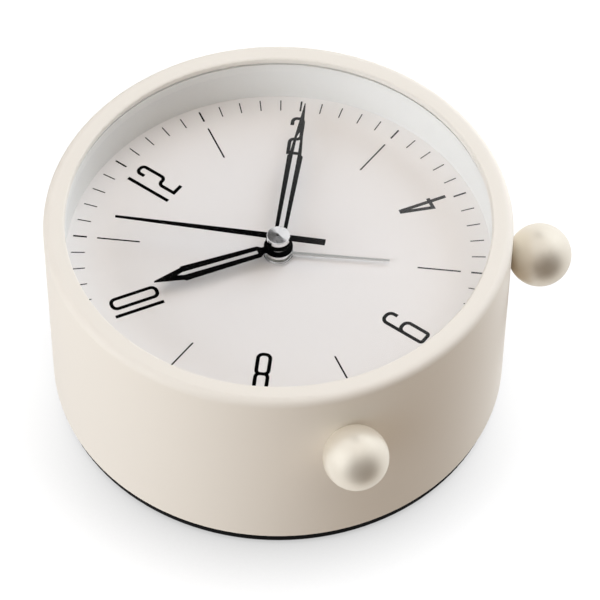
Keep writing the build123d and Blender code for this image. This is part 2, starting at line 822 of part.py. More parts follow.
tunnel_size = (core_width + 2 * core_play, stator_thickness + 2 * core_play)
sleeve_size = (tunnel_size[0] + 2 * bobbin_wall, tunnel_size[1] + 2 * bobbin_wall)
coil_plane = Plane((-bobbin_length / 2, coil_y, coil_middle), x_dir=(0, 1, 0), z_dir=(1, 0, 0))
with BuildPart() as coil_bobbin:
    with BuildSketch(coil_plane):
        Rectangle(*sleeve_size)
    extrude(amount=bobbin_length)
    with BuildSketch(coil_plane, coil_plane.offset(bobbin_length - bobbin_flange)):
        RectangleRounded(winding_width + 2 * flange_margin, winding_height + 2 * flange_margin, flange_margin)
    extrude(amount=bobbin_flange)
    with BuildSketch(coil_plane):
        Rectangle(*tunnel_size)
    extrude(amount=bobbin_length, mode=Mode.SUBTRACT)
save(coil_bobbin, "coil_bobbin")

with BuildPart() as coil_winding:
    with BuildSketch(coil_plane.offset(bobbin_flange)):
        RectangleRounded(winding_width, winding_height, winding_height / 4)
        Rectangle(*sleeve_size, mode=Mode.SUBTRACT)
    extrude(amount=bobbin_length - 2 * bobbin_flange)
save(coil_winding, "coil_winding")

# Circuit board with its chip and crystal, and the alarm contact strip
with BuildPart() as circuit_board:
    with BuildSketch(Plane.XY.offset(board_z)):
        with Locations((0, board_y)):
            Rectangle(board_length, board_width)
    extrude(amount=board_thickness)
save(circuit_board, "circuit_board")

with BuildPart() as control_chip:
    round_bar((-board_part_x, board_y), chip_diameter / 2, board_z + board_thickness,
              board_z + board_thickness + chip_height)
    fillet(control_chip.edges().group_by(Axis.Z)[-1], radius=chip_height / 2)
save(control_chip, "control_chip")

with BuildPart() as crystal:
    crystal_z = board_z + board_thickness + crystal_diameter / 2
    with BuildSketch(Plane((board_part_x, board_y, crystal_z), z_dir=(1, 0, 0))):
        Circle(crystal_diameter / 2)
    extrude(amount=crystal_length)
save(crystal, "crystal")

with BuildPart() as alarm_contact:
    strip_z = levels[6] + wheel_thickness + strip_lift
    strip_start = -movement_half + movement_plate + board_edge_gap
    strip_end = -strip_offset
    with BuildSketch(Plane.XY.offset(strip_z)):
        with Locations((strip_offset, (strip_start + strip_end) / 2)):
            Rectangle(strip_width, strip_end - strip_start)
    extrude(amount=strip_thickness)
    with BuildSketch(Plane.XY.offset(strip_z + strip_thickness)):
        with Locations((strip_offset, strip_start + strip_width / 2)):
            Rectangle(strip_width, strip_width)
    extrude(amount=movement_inner - strip_z - strip_thickness)
save(alarm_contact, "alarm_contact")

# Going train, from the rotor to the centre wheel; arbors run between the two plates
pivot_low = movement_floor - pivot_depth
pivot_high = movement_inner + pivot_depth
with BuildPart() as rotor:
    rotor_phase = mesh_phase(intermediate_teeth, 0, intermediate_at, rotor_teeth, rotor_at)
    round_bar(rotor_at, arbor_radius, pivot_low, pivot_high)
    extrude(gear_face(rotor_teeth, rotor_module, rotor_phase, rotor_at, levels[0]), amount=wheel_thickness)
    magnet_low = stator_z + stator_thickness / 2 - magnet_height / 2
    round_bar(rotor_at, magnet_diameter / 2, magnet_low, magnet_low + magnet_height)
save(rotor, "rotor")

with BuildPart() as intermediate_wheel:
    pinion_phase = mesh_phase(seconds_teeth, 0, axis_at, intermediate_pinion_teeth, intermediate_at)
    round_bar(intermediate_at, arbor_radius, pivot_low, pivot_high)
    extrude(
        gear_face(intermediate_teeth, rotor_module, 0, intermediate_at, levels[0]),
        amount=wheel_thickness,
    )
    extrude(
        gear_face(intermediate_pinion_teeth, seconds_module, pinion_phase, intermediate_at, levels[1]),
        amount=wheel_thickness,
    )
save(intermediate_wheel, "intermediate_wheel")

with BuildPart() as seconds_wheel:
    round_bar(axis_at, arbor_radius, pivot_low, second_hand_z + hand_thickness)
    extrude(gear_face(seconds_teeth, seconds_module, 0, axis_at, levels[1]), amount=wheel_thickness)
    extrude(gear_face(seconds_pinion_teeth, third_module, 0, axis_at, levels[2]), amount=wheel_thickness)
save(seconds_wheel, "seconds_wheel")

with BuildPart() as third_wheel:
    third_phase = mesh_phase(seconds_pinion_teeth, 0, axis_at, third_teeth, third_at)
    round_bar(third_at, arbor_radius, pivot_low, pivot_high)
    extrude(gear_face(third_teeth, third_module, third_phase, third_at, levels[2]), amount=wheel_thickness)
    extrude(gear_face(third_pinion_teeth, centre_module, 0, third_at, levels[3]), amount=wheel_thickness)
save(third_wheel, "third_wheel")

with BuildPart() as centre_wheel:
    centre_phase = mesh_phase(third_pinion_teeth, 0, third_at, centre_teeth, axis_at)
    extrude(gear_face(centre_teeth, centre_module, centre_phase, axis_at, levels[3]), amount=wheel_thickness)
    round_bar(axis_at, cannon_radius + run_gap, levels[3], levels[4], Mode.SUBTRACT)
save(centre_wheel, "centre_wheel")

# Motion work: cannon pinion with its clutch washer, minute wheel, hour wheel and setting arbor
with BuildPart() as cannon_pinion:
    cannon_start = levels[3] - wheel_clearance
    cannon_end = minute_hand_z + hand_thickness
    round_bar(axis_at, cannon_radius, cannon_start, cannon_end)
    extrude(gear_face(cannon_teeth, cannon_module, 0, axis_at, levels[4]), amount=wheel_thickness)
    round_bar(axis_at, cannon_bore, cannon_start, cannon_end, Mode.SUBTRACT)
save(cannon_pinion, "cannon_pinion")

with BuildPart() as clutch_washer:
    round_bar(axis_at, cannon_radius + 2 * tube_wall, levels[3] + wheel_thickness + end_play, levels[4])
    round_bar(axis_at, cannon_radius + grip_gap, levels[3], levels[4], Mode.SUBTRACT)
save(clutch_washer, "clutch_washer")

minute_phase = mesh_phase(cannon_teeth, 0, axis_at, minute_teeth, minute_at)
with BuildPart() as minute_wheel:
    round_bar(minute_at, arbor_radius, pivot_low, pivot_high)
    extrude(
        gear_face(minute_teeth, cannon_module, minute_phase, minute_at, levels[4]),
        amount=wheel_thickness,
    )
    extrude(gear_face(minute_pinion_teeth, hour_module, 0, minute_at, levels[5]), amount=wheel_thickness)
save(minute_wheel, "minute_wheel")

with BuildPart() as hour_wheel:
    hour_phase = mesh_phase(minute_pinion_teeth, 0, minute_at, hour_teeth, axis_at)
    round_bar(axis_at, hour_radius, levels[5], hour_hand_z + hand_thickness)
    extrude(gear_face(hour_teeth, hour_module, hour_phase, axis_at, levels[5]), amount=wheel_thickness)
    round_bar(axis_at, hour_bore, levels[5], hour_hand_z + hand_thickness, Mode.SUBTRACT)
save(hour_wheel, "hour_wheel")

with BuildPart() as time_arbor:
    time_phase = mesh_phase(minute_teeth, minute_phase, minute_at, cannon_teeth, time_at)
    round_bar(time_at, setting_radius, arbor_end, levels[4] + wheel_thickness)
    round_bar(time_at, arbor_radius, levels[4], pivot_high)
    extrude(gear_face(cannon_teeth, cannon_module, time_phase, time_at, levels[4]), amount=wheel_thickness)
save(time_arbor, "time_arbor")

# Alarm work: alarm wheel, idler and setting arbor
with BuildPart() as alarm_wheel:
    round_bar(axis_at, alarm_radius, levels[6], alarm_hand_z + hand_thickness)
    extrude(gear_face(alarm_teeth, alarm_module, 0, axis_at, levels[6]), amount=wheel_thickness)
    round_bar(axis_at, alarm_bore, levels[6], alarm_hand_z + hand_thickness, Mode.SUBTRACT)
save(alarm_wheel, "alarm_wheel")

idler_phase = mesh_phase(alarm_teeth, 0, axis_at, idler_teeth, idler_at)
with BuildPart() as alarm_idler:
    round_bar(idler_at, arbor_radius, pivot_low, pivot_high)
    extrude(gear_face(idler_teeth, alarm_module, idler_phase, idler_at, levels[6]), amount=wheel_thickness)
save(alarm_idler, "alarm_idler")

with BuildPart() as alarm_arbor:
    alarm_phase = mesh_phase(idler_teeth, idler_phase, idler_at, alarm_teeth, alarm_at)
    round_bar(alarm_at, setting_radius, arbor_end, levels[6] + wheel_thickness)
    round_bar(alarm_at, arbor_radius, levels[6], pivot_high)
    extrude(gear_face(alarm_teeth, alarm_module, alarm_phase, alarm_at, levels[6]), amount=wheel_thickness)
save(alarm_arbor, "alarm_arbor")


def skeleton_hand(plane, length, shoulder, shoulder_width, body_start, body_width, slot_end, hub, bore):
    """A slotted hand: hub, neck, body that widens to a shoulder, and a long point."""
    side = [
        (0, neck_width / 2),
        (body_start - neck_width / 2, neck_width / 2),
        (body_start, body_width / 2),
        (shoulder, shoulder_width / 2),
        (shoulder + shoulder_step, shoulder_width / 2 - shoulder_step),
        (length, hand_point / 2),
    ]
    slot_start = body_start + slot_width / 4
    slot_side = [
        (slot_start, slot_width / 2),
        (shoulder, slot_width / 2),
        (slot_end - slot_nose, slot_nose_width / 2),
        (slot_end, 0),
        (slot_end - slot_nose, -slot_nose_width / 2),
        (shoulder, -slot_width / 2),
        (slot_start, -slot_width / 2),
    ]
    with BuildSketch(plane) as outline:
        with BuildLine():
            Polyline(*side, *[(x, -y) for x, y in reversed(side)], close=True)
        make_face()
        Circle(hub / 2)
        with BuildLine():
            Polyline(*slot_side, close=True)
        make_face(mode=Mode.SUBTRACT)
        Circle(bore, mode=Mode.SUBTRACT)
    extrude(outline.sketch, amount=hand_thickness)


def bush(radius, bore, start, end):
    """A metal collar pressed on a tube under its hand."""
    round_bar(axis_at, radius, start, end)
    round_bar(axis_at, bore, start, end, Mode.SUBTRACT)


# Hands, set as the clock shows them, each on a metal bush
with BuildPart() as alarm_hand:
    with BuildSketch(hand_plane(alarm_reading, alarm_hand_z)):
        with BuildLine():
            Polyline(
                (0, -alarm_hand_root / 2),
                (alarm_hand_length, -alarm_hand_tip / 2),
                (alarm_hand_length, alarm_hand_tip / 2),
                (0, alarm_hand_root / 2),
                close=True,
            )
        make_face()
        Circle(alarm_hub_diameter / 2 - bush_inset)
        Circle(alarm_radius + grip_gap, mode=Mode.SUBTRACT)
    extrude(amount=hand_thickness)
save(alarm_hand, "alarm_hand")

with BuildPart() as alarm_hand_bush:
    bush(alarm_hub_diameter / 2, alarm_radius + grip_gap, alarm_hand_z - alarm_bush_height, alarm_hand_z)
save(alarm_hand_bush, "alarm_hand_bush")

with BuildPart() as hour_hand:
    skeleton_hand(
        hand_plane(hour_reading, hour_hand_z),
        hour_hand_length,
        hour_shoulder,
        hour_shoulder_width,
        hour_body_start,
        hour_body_width,
        hour_slot_end,
        hour_hub_diameter,
        hour_radius + grip_gap,
    )
save(hour_hand, "hour_hand")

with BuildPart() as hour_hand_bush:
    bush(hour_hub_diameter / 2 - bush_inset, hour_radius + grip_gap, hour_hand_z - bush_height, hour_hand_z)
save(hour_hand_bush, "hour_hand_bush")

with BuildPart() as minute_hand:
    skeleton_hand(
        hand_plane(minute_reading / 5, minute_hand_z),
        minute_hand_length,
        minute_shoulder,
        minute_shoulder_width,
        minute_body_start,
        minute_body_width,
        minute_slot_end,
        minute_hub_diameter,
        cannon_radius + grip_gap,
    )
save(minute_hand, "minute_hand")

with BuildPart() as minute_hand_bush:
    bush(
        minute_hub_diameter / 2 - bush_inset,
        cannon_radius + grip_gap,
        minute_hand_z - bush_height,
        minute_hand_z,
    )
save(minute_hand_bush, "minute_hand_bush")

with BuildPart() as second_hand:
    with BuildSketch(hand_plane(second_reading / 5, second_hand_z)):
        with BuildLine():
            Polyline(
                (-second_hand_tail, -second_hand_root / 2),
                (0, -second_hand_root / 2),
                (second_hand_length, -second_hand_tip / 2),
                (second_hand_length, second_hand_tip / 2),
                (0, second_hand_root / 2),
                (-second_hand_tail, second_hand_root / 2),
                close=True,
            )
        make_face()
        Circle(second_hub_diameter / 2)
        Circle(arbor_radius + grip_gap, mode=Mode.SUBTRACT)
    extrude(amount=hand_thickness)
    bush(second_hub_diameter / 2, arbor_radius + grip_gap, second_hand_z - second_hub_height, second_hand_z)
save(second_hand, "second_hand")

# The cap has a shallow turned cone on top and sits over the hub, with a slot across it for the hand
with BuildPart() as second_hand_cap:
    cap_low = second_hand_z - second_cap_skirt
    cap_slot_depth = second_cap_skirt + hand_thickness
    cap_top = cap_low + second_cap_height
    with BuildSketch(Plane.XZ):
        with BuildLine():
            Polyline(
                (0, cap_low),
                (second_cap_diameter / 2, cap_low),
                (second_cap_diameter / 2, cap_top - second_cap_cone),
                (0, cap_top),
                close=True,
            )
        make_face()
    revolve(axis=Axis.Z)
    cap_edges = second_hand_cap.edges().filter_by(GeomType.CIRCLE).group_by(Axis.Z)
    fillet(cap_edges[-1], radius=second_cap_rounding)
    with BuildSketch(hand_plane(second_reading / 5, cap_low)):
        Rectangle(second_cap_diameter, second_hand_root + 2 * grip_gap)
        Circle(second_hub_diameter / 2 + grip_gap)
    extrude(amount=cap_slot_depth, mode=Mode.SUBTRACT)
save(second_hand_cap, "second_hand_cap")
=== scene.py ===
# %% [markdown]
# # A round alarm clock, dressed for its picture
# The clock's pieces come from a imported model: each one is already a mesh at its real size and in its place.
# This lesson gives every piece its finish, prints the dial, and sets up a small white studio round it.
# Lengths are in metres, the clock lies on its back with the dial up, and its axis is the Z axis.

# %% Load the clock
import json
import math

import bmesh
import bpy
from mathutils import Matrix, Vector


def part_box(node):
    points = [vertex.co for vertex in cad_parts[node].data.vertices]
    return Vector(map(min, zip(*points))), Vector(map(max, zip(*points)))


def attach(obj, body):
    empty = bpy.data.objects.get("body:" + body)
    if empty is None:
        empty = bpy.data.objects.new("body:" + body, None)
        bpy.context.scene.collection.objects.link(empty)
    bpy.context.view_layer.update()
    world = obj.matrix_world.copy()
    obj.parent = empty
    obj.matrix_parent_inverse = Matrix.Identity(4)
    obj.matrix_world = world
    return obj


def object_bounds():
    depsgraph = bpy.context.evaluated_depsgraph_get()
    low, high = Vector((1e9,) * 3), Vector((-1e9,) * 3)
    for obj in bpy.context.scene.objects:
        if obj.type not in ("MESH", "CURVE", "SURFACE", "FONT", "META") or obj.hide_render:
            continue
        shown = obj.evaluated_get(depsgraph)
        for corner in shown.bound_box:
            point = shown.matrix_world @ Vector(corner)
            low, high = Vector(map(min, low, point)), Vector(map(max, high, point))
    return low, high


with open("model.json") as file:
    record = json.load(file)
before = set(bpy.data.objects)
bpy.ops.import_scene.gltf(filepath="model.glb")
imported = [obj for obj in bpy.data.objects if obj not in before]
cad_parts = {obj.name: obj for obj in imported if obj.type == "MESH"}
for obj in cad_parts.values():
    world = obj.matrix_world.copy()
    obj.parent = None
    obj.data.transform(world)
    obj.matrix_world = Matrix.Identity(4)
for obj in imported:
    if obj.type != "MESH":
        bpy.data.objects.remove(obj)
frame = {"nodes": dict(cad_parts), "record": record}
cad_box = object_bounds()
nodes = frame["nodes"]
MM = 0.001
print(f"{len(nodes)} pieces, {[round(side / MM, 1) for side in cad_box[1] - cad_box[0]]} mm")

# %% [markdown]
# ## Camera
# A product photographer stands well back with a long lens, so the drum's round edges stay calm ellipses.
# The camera is turned by three angles about a point on the clock's axis, and two small slides put that
# point where it lies in the picture. Writing the turn as three axes avoids any guess about the order of
# rotations.

# %% Viewing directions
view_turn = math.radians(-53.99)
view_rise = math.radians(51.24)
view_roll = math.radians(0.64)

toward_camera = Vector((math.sin(view_turn) * math.cos(view_rise),
                        -math.cos(view_turn) * math.cos(view_rise),
                        math.sin(view_rise)))
level_right = Vector((math.cos(view_turn), math.sin(view_turn), 0))
level_up = toward_camera.cross(level_right)
picture_right = level_right * math.cos(view_roll) + level_up * math.sin(view_roll)
picture_up = level_up * math.cos(view_roll) - level_right * math.sin(view_roll)
print("the camera looks down by", round(math.degrees(view_rise), 1), "degrees")

# %% Place the camera
view_distance = 750.3 * MM
aim_height = 30.0 * MM
aim_slide_right = -4.81 * MM
aim_slide_up = 5.26 * MM

camera_data = bpy.data.cameras.new("studio_camera")
camera_data.sensor_width = 36.0
camera_data.lens = 203.5
camera_data.clip_start = 0.05
camera_data.clip_end = 20
camera = bpy.data.objects.new("studio_camera", camera_data)
bpy.context.scene.collection.objects.link(camera)
axes = Matrix((picture_right, picture_up, toward_camera)).transposed().to_4x4()
stand = Vector((0, 0, aim_height)) + toward_camera * view_distance
stand -= picture_right * aim_slide_right + picture_up * aim_slide_up
camera.matrix_world = Matrix.Translation(stand) @ axes
bpy.context.scene.camera = camera
bpy.context.scene.view_settings.view_transform = "Standard"
print("camera stands at", [round(c / MM) for c in stand], "mm")

# %% [markdown]
# ## Floor
# The clock lies on a white sweep, a board so large that its edge is out of sight. A flat disc is enough,
# because it burns out to plain white and keeps only a soft shadow close to the clock. Light that bounces
# doesn't see the disc, so it adds nothing to the light on the clock and hides none from its back.

# %% Lay the floor
floor_reach = 4.0
floor_sides = 64
floor_drop = 0.1 * MM

shape = bmesh.new()
bmesh.ops.create_circle(shape, cap_ends=True, segments=floor_sides, radius=floor_reach)
bmesh.ops.translate(shape, verts=shape.verts, vec=(0, 0, cad_box[0].z - floor_drop))
floor_mesh = bpy.data.meshes.new("white_sweep")
shape.to_mesh(floor_mesh)
shape.free()
floor = bpy.data.objects.new("white_sweep", floor_mesh)
bpy.context.scene.collection.objects.link(floor)
floor.visible_diffuse = False
floor.visible_glossy = False
floor.visible_shadow = False
print("floor is", 2 * floor_reach, "m across")

# %% [markdown]
# ### Floor paint
# Lamps bright enough to burn the floor out to white would burn out the pale clock too. So the paint is a
# dark grey that takes the lamps' light and shadow, and a glow that only the camera sees lifts it to white.
# Near the clock the glow fades into a painted shadow: the Ambient Occlusion node tells how much of the sky
# a spot of the floor sees. The painted shadow is deepest on the camera's side. Seen from below the floor
# is clear, to show the back.

# %% Helpers for nodes
def add_node(tree, kind, sockets=None, **settings):
    """A node of that kind, with its settings made and its inputs set to plain values or linked to sockets."""
    made = tree.nodes.new("ShaderNode" + kind)
    for setting, value in settings.items():
        setattr(made, setting, value)
    for label, source in (sockets or {}).items():
        if isinstance(source, bpy.types.NodeSocket):
            tree.links.new(source, made.inputs[label])
        else:
            made.inputs[label].default_value = source
    return made


def math_step(tree, operation, *sources):
    """The result of a Math node, fed by sockets or plain numbers."""
    return add_node(tree, "Math", dict(enumerate(sources)), operation=operation).outputs[0]


def here(tree):
    """The place on the piece, in metres."""
    return add_node(tree, "TexCoord").outputs["Object"]


# %% Paint the floor
floor_grey = (0.14, 0.14, 0.14, 1)
floor_glow = 1.0
shadow_reach = 23 * MM
shadow_depth = 0.78
shadow_depth_behind = 0.25
shadow_full = 30 * MM

floor_paint = bpy.data.materials.new("white_sweep")
floor_paint.use_nodes = True
floor_tree = floor_paint.node_tree
floor_tree.nodes.clear()
camera_side = (toward_camera.x, toward_camera.y, 0)
ahead = add_node(floor_tree, "VectorMath", {0: here(floor_tree), 1: camera_side}, operation="DOT_PRODUCT")
# The glow is dimmed near the clock, most on the camera's side: a painted shadow on the floor.
least_glow = add_node(
    floor_tree, "MapRange",
    {"Value": ahead.outputs["Value"], "From Min": 0.0, "From Max": shadow_full,
     "To Min": floor_glow * (1 - shadow_depth_behind), "To Max": floor_glow * (1 - shadow_depth)},
    interpolation_type="SMOOTHSTEP")
open_sky = add_node(floor_tree, "AmbientOcclusion", {"Distance": shadow_reach})
fade = add_node(
    floor_tree, "MapRange",
    {"Value": open_sky.outputs["AO"], "To Min": least_glow.outputs["Result"], "To Max": floor_glow})
seen = add_node(floor_tree, "LightPath").outputs["Is Camera Ray"]
strength = math_step(floor_tree, "MULTIPLY", fade.outputs["Result"], seen)
glow = add_node(floor_tree, "Emission", {"Strength": strength})
board = add_node(floor_tree, "BsdfDiffuse", {"Color": floor_grey})
lit_board = add_node(floor_tree, "AddShader", {0: board.outputs[0], 1: glow.outputs[0]})
clear = add_node(floor_tree, "BsdfTransparent")
from_below = add_node(floor_tree, "NewGeometry").outputs["Backfacing"]
sweep = add_node(floor_tree, "MixShader", {0: from_below, 1: lit_board.outputs[0], 2: clear.outputs[0]})
add_node(floor_tree, "OutputMaterial", {"Surface": sweep.outputs[0]})
floor_mesh.materials.append(floor_paint)
print("floor paint has", len(floor_tree.nodes), "nodes")

# %% [markdown]
# ## Room
# The camera sees the room as plain white. Matt surfaces get a warm fill from below, where light comes back
# up from a white table. Shiny pieces see a white room with two dark places: a wide gap in the walls on the
# camera's side, a little to the right, and a dark flag behind the clock, high up where the lens mirrors it.
# Polished metal and a clear lens need such dark places to show what they are. The flag ends in a soft edge,
# so the lens is clear on the left and has a pale veil on the right.

# %% Room: directions
picture_left = -level_right
nearer = Vector((toward_camera.x, toward_camera.y, 0)).normalized()
straight_up = Vector((0, 0, 1))

gap_turn = math.radians(22)
gap_rise = math.radians(3)
dark_gap = (nearer * math.cos(gap_turn) + level_right * math.sin(gap_turn)) * math.cos(gap_rise)
dark_gap += straight_up * math.sin(gap_rise)

flag_slant = 0.7
lens_mirror = Vector((-toward_camera.x, -toward_camera.y, toward_camera.z))
flag_edge = level_right + flag_slant * lens_mirror.cross(level_right)
print("dark gap towards", [round(c, 2) for c in dark_gap])

# %% Room: helpers
room = bpy.data.worlds.new("white_room")
bpy.context.scene.world = room
room.use_nodes = True
room_tree = room.node_tree
room_tree.nodes.clear()
compass = add_node(room_tree, "TexCoord").outputs["Generated"]


def toward(axis, low, high):
    """How far a direction turns towards an axis: 0 below the low mark, 1 above the high one."""
    dot = add_node(room_tree, "VectorMath", {0: compass, 1: axis}, operation="DOT_PRODUCT")
    marks = {"Value": dot.outputs["Value"], "From Min": low, "From Max": high}
    return add_node(room_tree, "MapRange", marks, interpolation_type="SMOOTHSTEP").outputs["Result"]


def shade(amount, first, second):
    """A mix of two shades, each a colour or the output of another mix."""
    mix = add_node(room_tree, "Mix", {"Factor": amount, "A": first, "B": second}, data_type="RGBA")
    return mix.outputs["Result"]


# %% Room: put it together
fill_above = (0.0, 0.0, 0.0, 1)
fill_below = (0.62, 0.51, 0.405, 1)
room_white = (1.0, 1.0, 1.0, 1)
gap_shade = (0.05, 0.03, 0.015, 1)
flag_shade = (0.0, 0.0, 0.0, 1)

walls = shade(toward(dark_gap, low=0.30, high=0.97), room_white, gap_shade)
flag = shade(toward(flag_edge, low=0.0, high=0.065), flag_shade, room_white)
views = {
    "matt": shade(toward(straight_up, low=-0.3, high=0.3), fill_below, fill_above),
    "shiny": shade(toward(lens_mirror, low=0.95, high=0.98), walls, flag),
    "white": room_white,
}
lit = {name: add_node(room_tree, "Background", {"Color": view}).outputs[0] for name, view in views.items()}
ray = add_node(room_tree, "LightPath").outputs
shiny_ray = math_step(room_tree, "MAXIMUM", ray["Is Glossy Ray"], ray["Is Transmission Ray"])
unseen = add_node(room_tree, "MixShader", {0: shiny_ray, 1: lit["matt"], 2: lit["shiny"]}).outputs[0]
whole = add_node(room_tree, "MixShader", {0: ray["Is Camera Ray"], 1: unseen, 2: lit["white"]}).outputs[0]
add_node(room_tree, "OutputWorld", {"Surface": whole})
print("the room has", len(views), "views")

# %% [markdown]
# ## Lamps
# Three large soft lamps light the clock. One stands low on the left, towards the camera. A stronger panel
# behind the clock on the right lights the far side of the drum and keeps its right edge bright. A warm one
# hangs overhead. Each is placed by how far it stands left, towards the camera and up, as someone in a
# studio would say it. Shiny pieces don't mirror the lamps, because the room already holds what they
# reflect.

# %% Hang the lamps
def hang_lamp(name, left, near, up, size, power, colour):
    """A soft box at a place given in metres from the middle of the clock's back, facing the clock."""
    lamp_data = bpy.data.lights.new(name, "AREA")
    lamp_data.shape = "RECTANGLE"
    lamp_data.size, lamp_data.size_y = size
    lamp_data.energy = power
    lamp_data.color = colour
    lamp = bpy.data.objects.new(name, lamp_data)
    place = picture_left * left + nearer * near + straight_up * up
    aim = Vector((0, 0, aim_height)) - place
    lamp.matrix_world = Matrix.Translation(place) @ aim.to_track_quat("-Z", "Y").to_matrix().to_4x4()
    lamp.visible_camera = False
    lamp.visible_glossy = False
    lamp.visible_transmission = False
    bpy.context.scene.collection.objects.link(lamp)
    print(name, "hangs", round(aim.length, 2), "m away")


hang_lamp("left_soft_box", left=0.68, near=0.46, up=0.39, size=(0.80, 0.70), power=6.6,
          colour=(0.87, 0.93, 1.0))
hang_lamp("right_back_panel", left=-0.62, near=-0.51, up=0.43, size=(0.85, 1.00), power=10.1,
          colour=(0.84, 0.915, 1.0))
hang_lamp("overhead_lamp", left=0.0, near=0.03, up=0.93, size=(1.20, 1.20), power=4.65,
          colour=(1.0, 0.86, 0.74))

# %% [markdown]
# ## Finishes: shared effects
# Real surfaces are never one flat colour. Lacquer, moulded plastic and plated metal differ in a few
# effects: a slow drift of tone, a fine grain and fine lines. Each effect is a node group that is built once
# and placed in each finish with its own values. The groups only give colours, values and heights; the
# shader stays in the material.

# %% Helpers for node groups
NUMBER = "NodeSocketFloat"
COLOUR = "NodeSocketColor"


def start_group(name, inputs, outputs):
    """A node group with named inputs (kind, starting value) and outputs (kind)."""
    group = bpy.data.node_groups.new(name, "ShaderNodeTree")
    for label, (kind, value) in inputs.items():
        socket = group.interface.new_socket(label, in_out="INPUT", socket_type=kind)
        socket.default_value = value
    for label, kind in outputs.items():
        group.interface.new_socket(label, in_out="OUTPUT", socket_type=kind)
    print(name, "has", [socket.name for socket in group.interface.items_tree])
    return group, group.nodes.new("NodeGroupInput").outputs, group.nodes.new("NodeGroupOutput").inputs


def noise(tree, place, size, detail):
    """Cloudy noise with features of about that size in metres."""
    scale = math_step(tree, "DIVIDE", 1.0, size)
    return add_node(tree, "TexNoise", {"Vector": place, "Scale": scale, "Detail": detail}).outputs["Fac"]


# %% [markdown]
# ### Skin
# Skin is what lacquer and moulded plastic share: the tone and the gloss drift slowly over the piece, and a
# fine grain roughens it. Painting them by hand would take an image, so two noises of different size stand
# for them.

# %% Skin group
skin, skin_in, skin_out = start_group(
    "skin",
    {"Colour": (COLOUR, (0.8, 0.8, 0.8, 1)), "Drift": (NUMBER, 0.02), "Drift Size": (NUMBER, 0.02),
     "Gloss Drift": (NUMBER, 0.08), "Roughness": (NUMBER, 0.4), "Grain Size": (NUMBER, 0.0005)},
    {"Colour": COLOUR, "Roughness": NUMBER, "Height": NUMBER},
)
spot = here(skin)
cloud = math_step(skin, "SUBTRACT", noise(skin, spot, skin_in["Drift Size"], detail=3.0), 0.5)
lift = math_step(skin, "MULTIPLY_ADD", cloud, skin_in["Drift"], 1.0)
tinted = add_node(skin, "VectorMath", {0: skin_in["Colour"], "Scale": lift}, operation="SCALE")
rough = math_step(skin, "MULTIPLY_ADD", cloud, skin_in["Gloss Drift"], skin_in["Roughness"])
skin.links.new(tinted.outputs[0], skin_out["Colour"])
skin.links.new(rough, skin_out["Roughness"])
skin.links.new(noise(skin, spot, skin_in["Grain Size"], detail=2.0), skin_out["Height"])

# %% [markdown]
# ### Painted edge shade
# A moulding with an eroded texture looks greyer than a smooth one, and the back cover's face has one. Its
# outer edge is painted near-black: a painted shade for the shadow where the clock's back meets the floor.
# This group picks one of two colours by the distance from the clock's axis.

# %% Painted edge shade group
painted_edge_shade, edge_in, edge_out = start_group(
    "painted_edge_shade",
    {"Face": (COLOUR, (0.02, 0.02, 0.02, 1)), "Edge": (COLOUR, (0.002, 0.002, 0.002, 1)),
     "Reach": (NUMBER, 0.05)},
    {"Colour": COLOUR},
)


def from_axis(tree):
    """The distance of the place on the piece from the clock's axis."""
    flat = add_node(tree, "VectorMath", {0: here(tree), 1: (1, 1, 0)}, operation="MULTIPLY")
    return add_node(tree, "VectorMath", {0: flat.outputs[0]}, operation="LENGTH").outputs["Value"]


past_face = math_step(painted_edge_shade, "GREATER_THAN", from_axis(painted_edge_shade), edge_in["Reach"])
picked = add_node(painted_edge_shade, "Mix", {"Factor": past_face, "A": edge_in["Face"], "B": edge_in["Edge"]},
                  data_type="RGBA")
painted_edge_shade.links.new(picked.outputs["Result"], edge_out["Colour"])

# %% [markdown]
# ### Turned rings
# A piece that was cut on a lathe keeps fine rings round its axis, which soften what it mirrors. The rings
# follow the distance from the clock's axis, so one group serves every turned piece on it. They are far too
# fine to model, so they are a bump. The cap's bright and dark sectors come from its shallow cone, which is
# modelled.

# %% Turned rings group
turned_rings, rings_in, rings_out = start_group(
    "turned_rings",
    {"Pitch": (NUMBER, 0.0001)},
    {"Height": NUMBER},
)
turns = math_step(turned_rings, "DIVIDE", from_axis(turned_rings), rings_in["Pitch"])
wave = math_step(turned_rings, "SINE", math_step(turned_rings, "MULTIPLY", turns, 2 * math.pi))
turned_rings.links.new(wave, rings_out["Height"])

# %% [markdown]
# ### Drawn lines
# Rolled, drawn or brushed metal has fine streaks along one direction. The same noise gives them when the
# place is squeezed along the streaks, so a point only has to move a little across them to change.

# %% Drawn lines group
drawn_lines, lines_in, lines_out = start_group(
    "drawn_lines",
    {"Roughness": (NUMBER, 0.3), "Spread": (NUMBER, 0.15), "Line Size": (NUMBER, 0.0002)},
    {"Roughness": NUMBER, "Height": NUMBER},
)
squeeze = add_node(drawn_lines, "Mapping", {"Vector": here(drawn_lines), "Scale": (0.03, 1.0, 1.0)})
line = noise(drawn_lines, squeeze.outputs[0], lines_in["Line Size"], detail=2.0)
middle = math_step(drawn_lines, "SUBTRACT", line, 0.5)
dull = math_step(drawn_lines, "MULTIPLY_ADD", middle, lines_in["Spread"], lines_in["Roughness"])
drawn_lines.links.new(dull, lines_out["Roughness"])
drawn_lines.links.new(line, lines_out["Height"])

# %% [markdown]
# ## Finishes: materials
# Each finish is a Principled shader fed by the groups. Colours are written as a paint chip would be read
# off a screen, 0 to 255, and turned into the linear values that the shader works with. Bare metals are
# written as linear values, which is how tables of metals give them.

# %% Helpers for materials
def chip(red, green, blue):
    """A colour read off a screen, as linear values."""
    def linear(value):
        value /= 255
        return value / 12.92 if value <= 0.04045 else ((value + 0.055) / 1.055) ** 2.4
    return (linear(red), linear(green), linear(blue), 1)


def place_group(material, group, **values):
    """Puts a shared effect into a material, with its own values."""
    sockets = {label.replace("_", " "): value for label, value in values.items()}
    return add_node(material.node_tree, "Group", sockets, node_tree=group)


